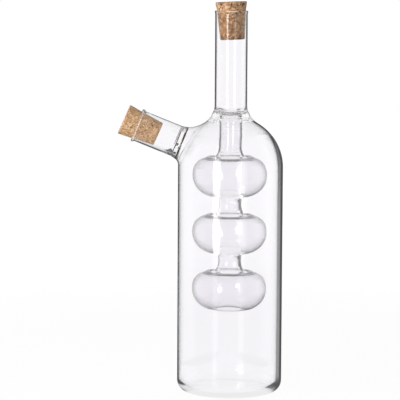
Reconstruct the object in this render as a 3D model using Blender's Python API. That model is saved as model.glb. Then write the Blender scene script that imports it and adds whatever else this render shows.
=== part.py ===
"""Oil and vinegar bottle, flame-worked from glass tube, with two tapered corks.

The outer jar holds the oil and pours from a side spout. A second vessel of three blown bulbs hangs inside it
from the neck and holds the vinegar. Metres, +Z up, origin at the centre of the flat base.
The spout leans towards -X.
"""

import math

import bmesh
import bpy
from mathutils import Matrix, Vector

# Jar
JAR_RADIUS = 0.035
JAR_WALL = 0.0020
BASE_THICKNESS = 0.0030
BASE_CORNER_RADIUS = 0.0080
SHOULDER_RADIUS = 0.0339
SHOULDER_HEIGHT = 0.1509

# Neck, and the ring that joins it to the jar and to the inner vessel
NECK_RADIUS = 0.0108
NECK_WALL = 0.00105
NECK_FLARE_RADIUS = 0.0144
NECK_LENGTH = 0.0655
SEAL_SINK = 0.0088
SEAL_WIDTH = 0.0050
SEAL_BEAD = 0.0005
NECK_LIP_FLARE = 0.0003
LIP_HEIGHT = 0.0030

# Inner vessel: a stem, then three bulbs with a short link between each two
BULB_COUNT = 3
BULB_TO_JAR_GAP = 0.0081
BULB_WALL = 0.0009
CROWN_HEIGHT = 0.0117
BELLY_HEIGHT = 0.0142
CROWN_FULLNESS = 2.5
BELLY_FULLNESS = 2.0
STEM_RADIUS = 0.0075
STEM_WALL = 0.0011
STEM_LENGTH = 0.0266
LINK_LENGTH = 0.0115
FOOT_FLARE = 0.0016
HEAD_FLARE = 0.0006
FLARE_LENGTH = 0.0040
BULB_LAND = 0.0008
DENT_HEIGHT = 0.0030

# Side spout
SPOUT_ANGLE = math.radians(21.8)
SPOUT_RISE = 0.0029
SPOUT_RADIUS = 0.0106
SPOUT_WALL = 0.0010
SPOUT_FILLET = 0.0044
SPOUT_FILLET_ABOVE = 0.0075
BOSS_LENGTH = 0.0012
FILLET_TIGHTNESS = 0.28
WELD_WIDTH = 0.0030
WELD_SPREAD = 0.0009
WELD_BULGE = 0.0003
SPOUT_TUBE_LENGTH = 0.0288
SPOUT_LIP_FLARE = 0.0006

# Corks of one standard size, one pressed well in and one left proud
CORK_LENGTH = 0.0250
CORK_HEAD_GROWTH = 0.0010
CORK_END_DROP = 0.00125
CORK_SWELL_HEIGHT = 0.0008
CORK_CHAMFER = 0.0004
NECK_CORK_PROUD = 0.0059
NECK_CORK_TILT = math.radians(-3.1)
SPOUT_CORK_PROUD = 0.0099
SPOUT_CORK_TILT = math.radians(2.1)

# Fits and mesh fineness
JOINT_GAP = 0.0003
CORK_CLEARANCE = 0.0003
FILLET_SINK = 0.0002
CUT_OVERRUN = 0.0050
SAME_POINT = 1e-6
SHARP_ANGLE = math.radians(32.0)
JAR_STEPS = 44
BULB_STEPS = 28
TUBE_STEPS = 24
QUARTER_STEPS = 6

# Sizes that follow from the ones above
BULB_RADIUS = JAR_RADIUS - JAR_WALL - BULB_TO_JAR_GAP
NECK_BORE = NECK_RADIUS - NECK_WALL
STEM_BORE = STEM_RADIUS - STEM_WALL
SPOUT_BORE = SPOUT_RADIUS - SPOUT_WALL
DOME_AXIS = JAR_RADIUS - SHOULDER_RADIUS
FLARE_AXIS = NECK_RADIUS + NECK_FLARE_RADIUS
DOME_TO_FLARE = SHOULDER_RADIUS + NECK_FLARE_RADIUS
FLARE_RISE = math.sqrt(DOME_TO_FLARE**2 - (FLARE_AXIS - DOME_AXIS) ** 2)
FLARE_HEIGHT = SHOULDER_HEIGHT + FLARE_RISE
FLARE_ANGLE = math.atan2(FLARE_RISE, FLARE_AXIS - DOME_AXIS)
SEAL_BOTTOM = FLARE_HEIGHT - SEAL_SINK
SEAL_TOP = SEAL_BOTTOM + SEAL_WIDTH
NECK_BOTTOM = SEAL_TOP + JOINT_GAP
NECK_TOP = NECK_BOTTOM + NECK_LENGTH
SPOUT_ORIGIN = Vector((0.0, 0.0, SHOULDER_HEIGHT + SPOUT_RISE))
SPOUT_DIRECTION = Vector((-math.cos(SPOUT_ANGLE), 0.0, math.sin(SPOUT_ANGLE)))


def clear_scene():
    for old in list(bpy.data.objects):
        bpy.data.objects.remove(old)


def make_material(name, colour, roughness, transmission):
    material = bpy.data.materials.new(name)
    material.use_nodes = True
    shader = material.node_tree.nodes["Principled BSDF"]
    shader.inputs["Base Color"].default_value = (*colour, 1.0)
    shader.inputs["Roughness"].default_value = roughness
    shader.inputs["Metallic"].default_value = 0.0
    shader.inputs["Transmission Weight"].default_value = transmission
    return material


def arc(centre, radius, start, end, count):
    """Points of a round stretch of outline, both ends included."""
    angles = [start + (end - start) * i / count for i in range(count + 1)]
    return [(centre[0] + radius * math.cos(a), centre[1] + radius * math.sin(a)) for a in angles]


def inner_face(outline, wall):
    """The outline moved inward by the wall. A point on the axis stays on it."""
    moved = []
    for i, (radius, height) in enumerate(outline):
        before = Vector(outline[max(i - 1, 0)])
        after = Vector(outline[min(i + 1, len(outline) - 1)])
        along = (after - before).normalized()
        moved.append((radius + along.y * wall if radius else 0.0, height - along.x * wall))
    return moved


def solid_from(name, bm):
    bmesh.ops.remove_doubles(bm, verts=bm.verts, dist=SAME_POINT)
    bmesh.ops.recalc_face_normals(bm, faces=bm.faces)
    mesh = bpy.data.meshes.new(name)
    bm.to_mesh(mesh)
    bm.free()
    mesh.shade_smooth()
    mesh.set_sharp_from_angle(angle=SHARP_ANGLE)
    part = bpy.data.objects.new(name, mesh)
    bpy.context.scene.collection.objects.link(part)
    return part


def turned(name, outline, steps, ring=True):
    """A solid turned about Z. A ring's outline is closed, any other starts and ends on the axis."""
    bm = bmesh.new()
    verts = [bm.verts.new((r, 0.0, z)) for r, z in outline]
    pairs = list(zip(verts, verts[1:]))
    if ring:
        pairs.append((verts[-1], verts[0]))
    edges = [bm.edges.new(pair) for pair in pairs]
    bmesh.ops.spin(
        bm, geom=verts + edges, cent=(0, 0, 0), axis=(0, 0, 1), angle=math.tau, steps=steps, use_merge=True
    )
    return solid_from(name, bm)


def as_cutter(part):
    part.hide_render = True
    part.display_type = "WIRE"
    return part


def add_boolean(part, other, operation):
    modifier = part.modifiers.new(other.name, "BOOLEAN")
    modifier.operation = operation
    modifier.object = as_cutter(other)
    modifier.solver = "EXACT"


def spout_matrix(distance, tilt=0.0):
    """A frame with Z along the spout, X to its upper side, this far out from the jar's axis."""
    place = Matrix.Translation(SPOUT_ORIGIN + SPOUT_DIRECTION * distance)
    return place @ Matrix.Rotation(SPOUT_ANGLE - math.pi / 2 + tilt, 4, "Y")


def jar_radius_at(height, inset):
    """The jar's radius at a height, up its side, over its shoulder and on to the neck."""
    dome = SHOULDER_RADIUS - inset
    flare = NECK_FLARE_RADIUS + inset
    if height <= SHOULDER_HEIGHT:
        return JAR_RADIUS - inset
    if height <= FLARE_HEIGHT - flare * math.sin(FLARE_ANGLE):
        return DOME_AXIS + math.sqrt(dome**2 - (height - SHOULDER_HEIGHT) ** 2)
    if height <= FLARE_HEIGHT:
        return FLARE_AXIS - math.sqrt(flare**2 - (FLARE_HEIGHT - height) ** 2)
    return NECK_RADIUS - inset


def jar_outline(inset, floor):
    """Half the jar's outline, from the centre of its floor up to its collar."""
    corner = BASE_CORNER_RADIUS - inset
    corner_centre = (JAR_RADIUS - BASE_CORNER_RADIUS, floor + corner)
    base = arc(corner_centre, corner, -math.pi / 2, 0.0, 5)
    dome = arc((DOME_AXIS, SHOULDER_HEIGHT), SHOULDER_RADIUS - inset, 0.0, FLARE_ANGLE, 8)
    flare_start = dome[-1][1]
    heights = [flare_start + (SEAL_BOTTOM - flare_start) * i / 3 for i in range(1, 4)]
    collar = [(jar_radius_at(height, inset), height) for height in heights]
    return [(0.0, floor), *base, *dome, *collar]


def spout_reach(x, y, inset):
    """How far a line along the spout, offset by x and y, runs before it leaves the jar."""
    frame = spout_matrix(0.0)
    near = 0.0
    far = 2 * JAR_RADIUS
    while far - near > SAME_POINT:
        middle = (near + far) / 2
        point = frame @ Vector((x, y, middle))
        if math.hypot(point.x, point.y) < jar_radius_at(point.z, inset):
            near = middle
        else:
            far = middle
    return near


def spout_root(name, radius, inset, end):
    """The stub of the spout, spread out to run smoothly on to the jar's surface."""
    bm = bmesh.new()
    rings = []
    for i in range(TUBE_STEPS):
        angle = math.tau * i / TUBE_STEPS
        x = math.cos(angle)
        y = math.sin(angle)
        above = max(x, 0.0) ** 2
        foot = radius + SPOUT_FILLET + (SPOUT_FILLET_ABOVE - SPOUT_FILLET) * above
        probe = SPOUT_FILLET / 4
        low = spout_reach(foot * x, foot * y, inset) - FILLET_SINK
        near = spout_reach((foot - probe) * x, (foot - probe) * y, inset) - FILLET_SINK
        neck = radius + WELD_SPREAD
        bend = neck + FILLET_TIGHTNESS * (foot - neck)
        bend_height = min(low + (near - low) / probe * (foot - bend), end)
        outline = [(neck, end + CUT_OVERRUN)] if inset else []
        for share in (0.0, 0.25, 0.5, 0.75, 1.0):
            rest = 1.0 - share
            r = neck * rest**2 + 2 * bend * share * rest + foot * share**2
            z = end * rest**2 + 2 * bend_height * share * rest + low * share**2
            outline.append((r, z))
        outline.append((foot, 0.0))
        rings.append([bm.verts.new((r * x, r * y, z)) for r, z in outline])
    for left, right in zip(rings, rings[1:] + rings[:1]):
        for i in range(len(left) - 1):
            bm.faces.new((left[i], right[i], right[i + 1], left[i + 1]))
    bm.faces.new([ring[0] for ring in rings])
    bm.faces.new([ring[-1] for ring in reversed(rings)])
    root = solid_from(name, bm)
    root.matrix_world = spout_matrix(0.0)
    return root


def make_jar(boss_end, glass):
    outside = jar_outline(0.0, 0.0)
    jar = turned("outer_jar", [*outside, (0.0, SEAL_BOTTOM)], JAR_STEPS, ring=False)
    add_boolean(jar, spout_root("spout_boss", SPOUT_RADIUS, 0.0, boss_end), "UNION")

    inside = jar_outline(JAR_WALL, BASE_THICKNESS)
    above = SEAL_BOTTOM + CUT_OVERRUN
    hollow = [*inside, (inside[-1][0], above), (0.0, above)]
    add_boolean(jar, turned("jar_chamber", hollow, JAR_STEPS, ring=False), "DIFFERENCE")
    add_boolean(jar, spout_root("spout_passage", SPOUT_BORE, JAR_WALL, boss_end), "DIFFERENCE")
    jar.data.materials.append(glass)


def make_seal_ring(glass):
    """The thick ring where the jar, the neck and the inner vessel are fused together."""
    low = SEAL_BOTTOM + JOINT_GAP
    span = SEAL_TOP - low
    shares = (0.0, 0.2, 0.4, 0.6, 0.8, 1.0)
    outside = []
    inside = []
    for share in shares:
        height = low + span * share
        bead = SEAL_BEAD * math.sin(math.pi * share)
        ease = math.sin(math.pi / 2 * share) ** 2
        outside.append((jar_radius_at(height, 0.0) + bead, height))
        inside.append((STEM_BORE + (NECK_BORE - STEM_BORE) * ease, height))
    ring = turned("neck_seal_ring", [*outside, *reversed(inside)], TUBE_STEPS)
    ring.data.materials.append(glass)


def mouth_outline(radius, wall, flare, top):
    """The fire-polished mouth of a tube, over the lip from its outer face to its bore."""
    start = top - LIP_HEIGHT
    half = wall / 2
    lip = arc((radius - half + flare, top - half), half, 0.0, math.pi, 6)
    return [(radius, start), *lip, (radius - wall, start)]


def make_neck(glass):
    heights = [NECK_BOTTOM + (FLARE_HEIGHT - NECK_BOTTOM) * share for share in (0.0, 0.5, 1.0)]
    outside = [(jar_radius_at(height, 0.0), height) for height in heights]
    mouth = mouth_outline(NECK_RADIUS, NECK_WALL, NECK_LIP_FLARE, NECK_TOP)
    neck = turned("neck_tube", [*outside, *mouth, (NECK_BORE, NECK_BOTTOM)], TUBE_STEPS)
    neck.data.materials.append(glass)


def make_stem(name, top, length, head_flare, glass):
    """A length of thin tube whose foot spreads to stand on the bulb below it."""
    foot = top - length
    spread = [(FOOT_FLARE * (1.0 - share) ** 2, foot + FLARE_LENGTH * share) for share in (0.0, 0.25, 0.5, 1.0)]
    if head_flare:
        spread += [(head_flare * share**2, top - FLARE_LENGTH * (1.0 - share)) for share in (0.5, 1.0)]
    else:
        spread.append((0.0, top))
    outside = [(STEM_RADIUS + grow, height) for grow, height in spread]
    inside = [(STEM_BORE + grow, height) for grow, height in reversed(spread)]
    stem = turned(name, [*outside, *inside], TUBE_STEPS)
    stem.data.materials.append(glass)


def bulb_quarter(land, equator, height, fullness):
    """A quarter of a bulb's outline, from its flat land out to its equator."""
    outline = []
    for i in range(QUARTER_STEPS + 1):
        angle = math.pi / 2 * i / QUARTER_STEPS
        out = math.sin(angle) ** (2 / fullness)
        up = max(math.cos(angle), 0.0) ** (2 / fullness)
        outline.append((land + (BULB_RADIUS - land) * out, equator + height * up))
    return outline


def make_bulb(name, top, has_outlet, glass):
    """A blown bulb, open at its crown, and below too unless it is the last of them."""
    equator = top - CROWN_HEIGHT
    bottom = equator - BELLY_HEIGHT
    crown = bulb_quarter(STEM_RADIUS + FOOT_FLARE + BULB_LAND, equator, CROWN_HEIGHT, CROWN_FULLNESS)
    edge = STEM_RADIUS + HEAD_FLARE + BULB_LAND
    belly = bulb_quarter(edge, equator, -BELLY_HEIGHT, BELLY_FULLNESS)
    outside = [(STEM_BORE + FOOT_FLARE, top), *crown, *reversed(belly[:-1])]
    if has_outlet:
        outside.append((STEM_BORE + HEAD_FLARE, bottom))
    else:
        outside += [(edge * share, bottom + DENT_HEIGHT * (1.0 - share**2)) for share in (0.75, 0.5, 0.25, 0.0)]
    inside = inner_face(outside, BULB_WALL)
    bulb = turned(name, [*reversed(outside), *inside], BULB_STEPS, ring=has_outlet)
    bulb.data.materials.append(glass)


def make_inner_vessel(glass):
    stem_names = ("inner_stem", "upper_link_tube", "lower_link_tube")
    bulb_names = ("upper_bulb", "middle_bulb", "lower_bulb")
    top = SEAL_BOTTOM
    for i in range(BULB_COUNT):
        length = LINK_LENGTH if i else STEM_LENGTH
        make_stem(stem_names[i], top, length, HEAD_FLARE if i else 0.0, glass)
        crown = top - length - JOINT_GAP
        make_bulb(bulb_names[i], crown, i + 1 < BULB_COUNT, glass)
        top = crown - CROWN_HEIGHT - BELLY_HEIGHT - JOINT_GAP


def make_spout(boss_end, glass):
    """The weld that bridges the jar's boss to the spout, then the spout itself. Returns the mouth's distance."""
    weld_start = boss_end + JOINT_GAP
    outside = []
    inside = []
    for share in (0.0, 0.25, 0.5, 0.75, 1.0):
        swell = WELD_BULGE * math.sin(math.pi * share)
        spread = WELD_SPREAD * (1.0 - share) ** 2
        outside.append((SPOUT_RADIUS + spread + swell, WELD_WIDTH * share))
        inside.append((SPOUT_BORE + spread - swell, WELD_WIDTH * share))
    weld = turned("spout_weld_ring", [*outside, *reversed(inside)], TUBE_STEPS)
    weld.matrix_world = spout_matrix(weld_start)
    weld.data.materials.append(glass)

    tube_start = weld_start + WELD_WIDTH + JOINT_GAP
    mouth = mouth_outline(SPOUT_RADIUS, SPOUT_WALL, SPOUT_LIP_FLARE, SPOUT_TUBE_LENGTH)
    tube = turned("spout_tube", [(SPOUT_RADIUS, 0.0), *mouth, (SPOUT_BORE, 0.0)], TUBE_STEPS)
    tube.matrix_world = spout_matrix(tube_start)
    tube.data.materials.append(glass)
    return tube_start + SPOUT_TUBE_LENGTH


def make_cork(name, bore, proud, material):
    """A tapered cork with its origin on its axis, level with the mouth it is pushed into."""
    seat = bore - CORK_CLEARANCE
    end = seat - CORK_END_DROP
    head = seat + CORK_HEAD_GROWTH
    low = proud - CORK_LENGTH
    outline = [
        (0.0, low),
        (end - CORK_CHAMFER, low),
        (end, low + CORK_CHAMFER),
        (seat, 0.0),
        (bore, CORK_SWELL_HEIGHT),
        (head, proud - CORK_CHAMFER),
        (head - CORK_CHAMFER, proud),
        (0.0, proud),
    ]
    cork = turned(name, outline, TUBE_STEPS, ring=False)
    cork.data.materials.append(material)
    return cork


def main():
    clear_scene()
    glass = make_material("clear_glass", (0.97, 0.98, 0.98), 0.02, 1.0)
    cork = make_material("pressed_cork", (0.62, 0.42, 0.26), 0.85, 0.0)

    boss_end = spout_reach(0.0, 0.0, 0.0) + BOSS_LENGTH
    make_jar(boss_end, glass)
    make_seal_ring(glass)
    make_neck(glass)
    make_inner_vessel(glass)
    spout_mouth = make_spout(boss_end, glass)

    neck_cork = make_cork("neck_cork", NECK_BORE, NECK_CORK_PROUD, cork)
    neck_cork.location = (0.0, 0.0, NECK_TOP)
    neck_cork.rotation_euler = (0.0, NECK_CORK_TILT, 0.0)
    spout_cork = make_cork("spout_cork", SPOUT_BORE, SPOUT_CORK_PROUD, cork)
    spout_cork.matrix_world = spout_matrix(spout_mouth, SPOUT_CORK_TILT)


main()
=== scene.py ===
# Oil and vinegar bottle: the looks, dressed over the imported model.
# Metres, +Z up, the same frame as the CAD. The camera looks along +Y, the spout leans towards -X.
import math

import bmesh
import bpy
from mathutils import Matrix, Vector, noise


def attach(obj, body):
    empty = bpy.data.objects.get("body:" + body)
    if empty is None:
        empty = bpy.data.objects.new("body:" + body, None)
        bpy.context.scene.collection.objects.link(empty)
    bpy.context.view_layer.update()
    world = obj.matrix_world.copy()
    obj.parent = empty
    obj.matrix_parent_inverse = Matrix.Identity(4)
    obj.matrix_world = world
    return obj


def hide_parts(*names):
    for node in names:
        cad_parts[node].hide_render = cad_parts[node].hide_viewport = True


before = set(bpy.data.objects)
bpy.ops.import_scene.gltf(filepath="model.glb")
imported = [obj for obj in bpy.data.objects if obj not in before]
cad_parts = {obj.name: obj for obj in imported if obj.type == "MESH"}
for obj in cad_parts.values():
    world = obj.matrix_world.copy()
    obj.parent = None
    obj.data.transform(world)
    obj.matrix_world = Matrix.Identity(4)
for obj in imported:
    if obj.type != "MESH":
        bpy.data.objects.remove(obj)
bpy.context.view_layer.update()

scene = bpy.context.scene
scene.view_settings.view_transform = "Standard"


def smooth(value, low, high):
    # 0 below low, 1 above high, eased between
    share = min(max((value - low) / (high - low), 0.0), 1.0)
    return share * share * (3.0 - 2.0 * share)


def within(value, low, lowIn, highIn, high):
    # fades in from low to lowIn and out again from highIn to high
    return smooth(value, low, lowIn) * (1.0 - smooth(value, highIn, high))


def arcPoints(centre, radii, startAngle, endAngle, count):
    # stretch of an ellipse in degrees, both ends included
    points = []
    for i in range(count + 1):
        angle = math.radians(startAngle + (endAngle - startAngle) * i / count)
        points.append((centre[0] + radii[0] * math.cos(angle), centre[1] + radii[1] * math.sin(angle)))
    return points


def bezierPoints(a, b, c, d, count):
    points = []
    for i in range(count + 1):
        t = i / count
        s = 1.0 - t
        weights = (s * s * s, 3 * s * s * t, 3 * s * t * t, t * t * t)
        points.append(tuple(sum(w * p[k] for w, p in zip(weights, (a, b, c, d))) for k in (0, 1)))
    return points


def linePoints(a, b, count):
    return [tuple(a[k] + (b[k] - a[k]) * i / count for k in (0, 1)) for i in range(count + 1)]


def shiftOutline(outline, walls):
    # the outline moved sideways by the wall at each point, to its inner side
    moved = []
    for i, ((radius, height), wall) in enumerate(zip(outline, walls)):
        before = Vector(outline[max(i - 1, 0)])
        after = Vector(outline[min(i + 1, len(outline) - 1)])
        along = (after - before).normalized()
        moved.append((max(radius + along.y * wall, 0.0) if radius else 0.0, height - along.x * wall))
    return moved


def polar(radius, angle, height):
    return Vector((radius * math.cos(angle), radius * math.sin(angle), height))


def turnRings(bm, outline, turns):
    # a ring of vertices for each row of the outline, a single vertex on the axis
    circle = [(math.cos(math.tau * c / turns), math.sin(math.tau * c / turns)) for c in range(turns)]
    return [[bm.verts.new((radius * x, radius * y, height)) for x, y in (circle if radius else circle[:1])]
            for radius, height in outline]


def joinRings(bm, low, high, skipped=()):
    # the faces between two rings, a fan where one of them is a single vertex
    turns = max(len(low), len(high))
    faces = []
    for c in range(turns):
        n = (c + 1) % turns
        if c in skipped:
            continue
        if len(low) == 1:
            faces.append(bm.faces.new((low[0], high[c], high[n])))
        elif len(high) == 1:
            faces.append(bm.faces.new((low[c], low[n], high[0])))
        else:
            faces.append(bm.faces.new((low[c], low[n], high[n], high[c])))
    return faces


def addPiece(name, mesh):
    piece = bpy.data.objects.new(name, mesh)
    scene.collection.objects.link(piece)
    return piece


jar = {
    "radius": 0.0350, "wall": 0.0020, "floor": 0.0030, "corner": 0.0080, "floorRise": 0.0004, "innerCorner": 0.0064,
    "domeRadius": 0.0339, "domeHeight": 0.1509, "flareRadius": 0.0144,
    "thinning": (0.50, 0.151, 0.180),    # the wall gets this much thinner, from this height to that
    "kickUp": 0.0005,    # the middle of the base stands this much clear of the table
    "boreShift": 0.0010,    # the bore sits this far towards the spout, so the right wall is thicker
    "baseShares": (0.12, 0.28, 0.45, 0.6, 0.74, 0.85, 0.93, 0.98),    # the mesh's rows, from the axis to the corner
    "wallHeights": (0.016, 0.022, 0.03, 0.04, 0.05, 0.06, 0.07, 0.08, 0.09, 0.1, 0.11, 0.12, 0.13, 0.138, 0.143,
                    0.1455),
    "shoulderHeights": (0.1468, 0.1478, 0.1488, 0.1498),
    "segments": 160,
}
neck = {
    "radius": 0.0108, "wall": 0.0011, "lipFlare": 0.0003, "lipHeight": 0.0030, "length": 0.0655,
    "foot": ((0.1898, 0.0), (0.1905, 0.00004), (0.1912, 0.0), (0.1918, 0.0)),    # (height, how far it is drawn in)
    "low": 0.1928, "boreLow": 0.1892,
}
seal = {
    "sink": 0.0088, "width": 0.0050, "bead": 0.0002, "beadEdge": 0.0004,
    "outerLow": 0.1829, "innerLow": 0.1815,    # where the jar's shoulder ends, outside and inside
    "stemStart": 0.1810,
}
inner = {
    "stemRadius": 0.0076, "stemWall": 0.0013, "stemLength": 0.0266, "linkLength": 0.0115,
    "footFlare": 0.0024, "headFlare": 0.0009, "flareLength": 0.0066, "headLength": 0.0044,
    "stemShift": 0.00005, "linkShift": 0.0004,    # the bores sit this far to the left, so the right walls are thicker
    "bulbRadius": 0.0249, "bulbWall": 0.00016, "crownWall": 0.0005, "heelWall": 0.0006,
    "crownHeight": 0.0117, "bellyHeight": 0.0142,
    "crownThin": (0.0130, 0.0190), "heelThin": (0.009, 0.016),    # radii over which those walls turn into the belly's
    "ringWall": 0.0011, "ridge": 0.0006,    # wall swollen inwards and outwards, at the sides of each crown
    "ridgeRadius": 0.0150, "ridgeWidth": 0.0013,
    "land": 0.0008, "dent": 0.0030, "seamDrop": 0.0004, "seamBelow": 0.0018,
    "squeeze": (0.9985, 1.0, 1.0),    # no two blown bulbs are quite as wide
}
spout = {
    "angle": math.radians(21.8), "rise": 0.0029, "radius": 0.0106, "wall": 0.0010,
    "fillet": 0.0044, "filletAbove": 0.0075, "innerFillet": 0.0046, "innerFilletAbove": 0.0079,
    "boreLift": 0.0005,    # the bore sits a little high, so the lower wall is thicker
    "lipBead": 0.00095, "bossLength": 0.0012, "tightness": 0.28,
    "weldWidth": 0.0030, "weldSpread": 0.0009, "weldBulge": 0.0003,
    "crease": ((0.00042, 0.0), (0.00030, 0.00004), (0.00005, 0.00064), (-0.00005, 0.00064), (-0.00030, 0.00004),
               (-0.00042, 0.0)),    # (along the bore, depth)
    "length": 0.0288, "lipHeight": 0.0030,
    "halfSpan": 16,    # columns of the jar's mesh that its root takes up, each way
}
gap = 0.0003

flareAxis = neck["radius"] + jar["flareRadius"]
domeAxis = jar["radius"] - jar["domeRadius"]
reachToFlare = jar["domeRadius"] + jar["flareRadius"]
flareRise = math.sqrt(reachToFlare ** 2 - (flareAxis - domeAxis) ** 2)
flareHeight = jar["domeHeight"] + flareRise
flareAngle = math.degrees(math.atan2(flareRise, flareAxis - domeAxis))
sealLow = flareHeight - seal["sink"]
sealHigh = sealLow + seal["width"]
neckTop = sealHigh + gap + neck["length"]
neckBore = neck["radius"] - neck["wall"]
stemRadius = inner["stemRadius"]
stemBore = stemRadius - inner["stemWall"]
headEdge = stemRadius + inner["headFlare"]
footEdge = stemRadius + inner["footFlare"]
spoutBore = spout["radius"] - spout["wall"]
spoutStart = Vector((0.0, 0.0, jar["domeHeight"] + spout["rise"]))
spoutWay = Vector((-math.cos(spout["angle"]), 0.0, math.sin(spout["angle"])))


def spoutMatrix(distance):
    # Z along the spout, X to its upper side
    return Matrix.Translation(spoutStart + spoutWay * distance) @ Matrix.Rotation(spout["angle"] - math.pi / 2, 4, "Y")


spoutPlace = spoutMatrix(0.0)


def jarRadiusAt(height, inset):
    thinning, low, high = jar["thinning"]
    inset *= 1.0 - thinning * smooth(height, low, high)
    dome = jar["domeRadius"] - inset
    flare = jar["flareRadius"] + inset
    if height <= jar["domeHeight"]:
        return jar["radius"] - inset
    if height <= flareHeight - flare * math.sin(math.radians(flareAngle)):
        return domeAxis + math.sqrt(dome ** 2 - (height - jar["domeHeight"]) ** 2)
    if height <= flareHeight:
        return flareAxis - math.sqrt(flare ** 2 - (flareHeight - height) ** 2)
    return neck["radius"] - inset


def spoutReach(x, y, inset):
    # how far a line along the spout runs before it meets the jar's surface
    near, far = 0.0, 2 * jar["radius"]
    for step in range(40):
        middle = (near + far) / 2
        point = spoutPlace @ Vector((x, y, middle))
        if math.hypot(point.x, point.y) < jarRadiusAt(point.z, inset):
            near = middle
        else:
            far = middle
    return near


def shoulderRows(inset, top):
    # the rows that the spout's root is let into, the same count on both faces of the wall
    rows = [(jar["radius"] - inset, height) for height in jar["shoulderHeights"]]
    arc = arcPoints((domeAxis, jar["domeHeight"]), (jar["domeRadius"] - inset,) * 2, 0.0, flareAngle, 28)
    rows += [(jarRadiusAt(height, inset), height) for radius, height in arc]
    low = rows[-1][1]
    rows += [(jarRadiusAt(low + (top - low) * s, inset), low + (top - low) * s) for s in (0.5, 1.0)]
    return rows


def jarRows(radius, floor, rise, power, corner, cornerSteps, wallStart):
    # base, corner and wall; the base is arched, or the floor sags, from the middle
    flat = radius - corner
    rows = [(0.0, floor + rise)]
    rows += [(flat * share, floor + rise * (1.0 - share ** power)) for share in jar["baseShares"]]
    rows += arcPoints((flat, floor + corner), (corner,) * 2, -90.0, 0.0, cornerSteps)
    return rows + [(radius, height) for height in wallStart + jar["wallHeights"]]


def sealRows():
    rows = []
    for i in range(13):
        share = i / 12
        height = sealLow - seal["beadEdge"] + (seal["width"] + 2 * seal["beadEdge"]) * share
        rows.append((jarRadiusAt(height, 0.0) + seal["bead"] * math.sin(math.pi * share) ** 2, height))
    return rows


def lipRows(radius, wall, flare, lipHeight, top):
    half = wall / 2

    def side(edge, share):
        return edge + flare * share * share, top - lipHeight + (lipHeight - half) * share

    rows = [side(radius, i / 6) for i in range(1, 6)]
    rows += arcPoints((radius - half + flare, top - half), (half, half), 0.0, 180.0, 12)
    return rows + [side(radius - wall, 1.0 - i / 6) for i in range(1, 6)]


def beadRows(radius, wall, bead, top):
    # a rounded lip, flush with the bore and standing out from the tube
    rows = [(radius, top - 3.0 * bead), (radius + 0.00003, top - 2.5 * bead)]
    rows += arcPoints((radius - wall + bead, top - bead), (bead, bead), -64.0, 180.0, 20)
    return rows + [(radius - wall, top - 2.0 * bead)]


def bulbOutline(index, top, closed):
    # outer face of a bulb, from the stem's foot above it to the next head below it
    crown = footEdge + inner["land"]
    edge = headEdge + inner["land"]
    radius = inner["bulbRadius"] * inner["squeeze"][index]
    equator = top - inner["crownHeight"]
    bottom = equator - inner["bellyHeight"]
    rows = [(crown + 0.0006 + 0.0004 * i, equator + inner["crownHeight"]) for i in range(9)]
    for i in range(6, 53):
        angle = math.pi / 2 * i / 52
        rows.append((crown + (radius - crown) * math.sin(angle) ** 0.8,
                     equator + inner["crownHeight"] * max(math.cos(angle), 0.0) ** 0.8))
    for i in range(1, 26 if closed else 25):
        angle = math.pi / 2 * (1.0 - i / 26)
        rows.append((edge + (radius - edge) * math.sin(angle), equator - inner["bellyHeight"] * math.cos(angle)))
    if closed:
        for share in (0.96, 0.9, 0.82, 0.72, 0.6, 0.46, 0.3, 0.15, 0.0):
            rows.append((edge * share, bottom + inner["dent"] * (1.0 - share ** 2) ** 1.6))
    return rows, equator, bottom


def footRows(radius, foot, last):
    # the spread foot of a stem or a link, outside or bore
    return [(radius + inner["footFlare"] * (1.0 - share) ** 2, foot + inner["flareLength"] * share)
            for share in (1.0, 0.8, 0.6, 0.45, 0.3, 0.15, last)]


def headRows(radius, top):
    # the spread head of a link, outside or bore
    return [(radius + inner["headFlare"] * share ** 2, top - inner["headLength"] * (1.0 - share))
            for share in (0.75, 0.5, 0.25, 0.0)]


outerPath = []    # base, wall, shoulder, neck, over the lip, down the bore and the inside of the bulbs
innerPath = []    # floor, inside of the wall, underside of the seal, outside of the stem and the bulbs


def put(path, name, rows):
    for row in rows:
        if path and math.hypot(path[-1][1][0] - row[0], path[-1][1][1] - row[1]) < 0.00003:
            continue
        path.append((name, row))


put(outerPath, "jarGlass", jarRows(jar["radius"], 0.0, jar["kickUp"], 4, jar["corner"], 18, (0.0095, 0.012)))
outerHoleLow = len(outerPath)
put(outerPath, "jarGlass", shoulderRows(0.0, seal["outerLow"]))
outerHoleHigh = len(outerPath) - 1
put(outerPath, "sealGlass", sealRows())
lipLow = neckTop - neck["lipHeight"]
put(outerPath, "neckGlass", [(jarRadiusAt(height, 0.0) - dip, height) for height, dip in neck["foot"]])
put(outerPath, "neckGlass", linePoints((neck["radius"], neck["low"]), (neck["radius"], lipLow), 16))
put(outerPath, "neckGlass", lipRows(neck["radius"], neck["wall"], neck["lipFlare"], neck["lipHeight"], neckTop))
put(outerPath, "neckGlass", linePoints((neckBore, lipLow), (neckBore, neck["boreLow"]), 16))
# the neck's bore ends in a small bowl, with a rounded edge down into the stem
bowl = ((neckBore, 0.1882), (neckBore, 0.1864), (0.0088, 0.1853), (0.0071, 0.1852))
bowlEdge = (bowl[3], (stemBore + 0.0001, 0.1852), (stemBore, 0.1850), (stemBore, 0.1842))
put(outerPath, "sealGlass", linePoints((neckBore, 0.1890), bowl[0], 2) + bezierPoints(*bowl, 14)[1:])
put(outerPath, "sealGlass", bezierPoints(*bowlEdge, 6)[1:] + linePoints(bowlEdge[3], (stemBore, 0.1832), 3)[1:])

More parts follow.
